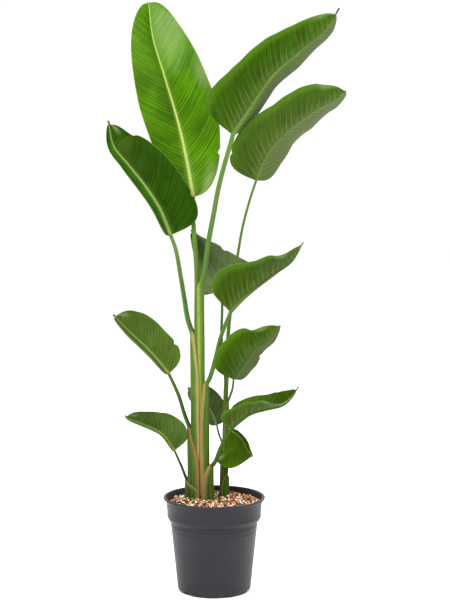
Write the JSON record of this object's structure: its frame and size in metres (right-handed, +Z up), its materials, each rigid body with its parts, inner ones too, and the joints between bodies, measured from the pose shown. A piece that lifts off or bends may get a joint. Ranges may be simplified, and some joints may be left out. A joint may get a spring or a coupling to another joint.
{
  "type": "potted giant white bird of paradise",
  "caption": "Tall indoor plant with large upright oval leaves on long clasping stalks, in two shoots, standing in soil in a plain round tapered nursery pot.",
  "frame": {"origin": "middle of the pot's underside, on the surface it stands on", "axes": "+Z up along the pot's axis, -Y towards the front, from which the picture was taken, +X to the right of that view"},
  "size_m": [0.565, 0.3552, 1.4127],
  "materials": {
    "pot_plastic": "charcoal moulded plastic, satin, slightly worn along its edges",
    "bark_mix": "rough chips of bark and coir with pale chips among them",
    "blade_green": "smooth leathery leaf, satin, with fine parallel side veins",
    "stalk_green": "smooth waxy stalk, paler than the blade, papery brown along the sheath's edges"
  },
  "bodies": {
    "root": {"pot": "pot_plastic", "soil": "bark_mix", "crown_leaf_blade": "blade_green", "crown_leaf_stalk": "stalk_green", "upper_right_leaf_blade": "blade_green", "upper_right_leaf_stalk": "stalk_green", "upper_left_leaf_blade": "blade_green", "upper_left_leaf_stalk": "stalk_green", "mid_right_leaf_blade": "blade_green", "mid_right_leaf_stalk": "stalk_green", "mid_left_leaf_blade": "blade_green", "mid_left_leaf_stalk": "stalk_green", "low_right_leaf_blade": "blade_green", "low_right_leaf_stalk": "stalk_green", "low_left_leaf_blade": "blade_green", "low_left_leaf_stalk": "stalk_green", "right_leaf_blade": "blade_green", "right_leaf_stalk": "stalk_green", "centre_leaf_blade": "blade_green", "centre_leaf_stalk": "stalk_green", "lower_right_leaf_blade": "blade_green", "lower_right_leaf_stalk": "stalk_green", "small_left_leaf_blade": "blade_green", "small_left_leaf_stalk": "stalk_green", "small_right_leaf_blade": "blade_green", "small_right_leaf_stalk": "stalk_green"}
  },
  "joints": []
}
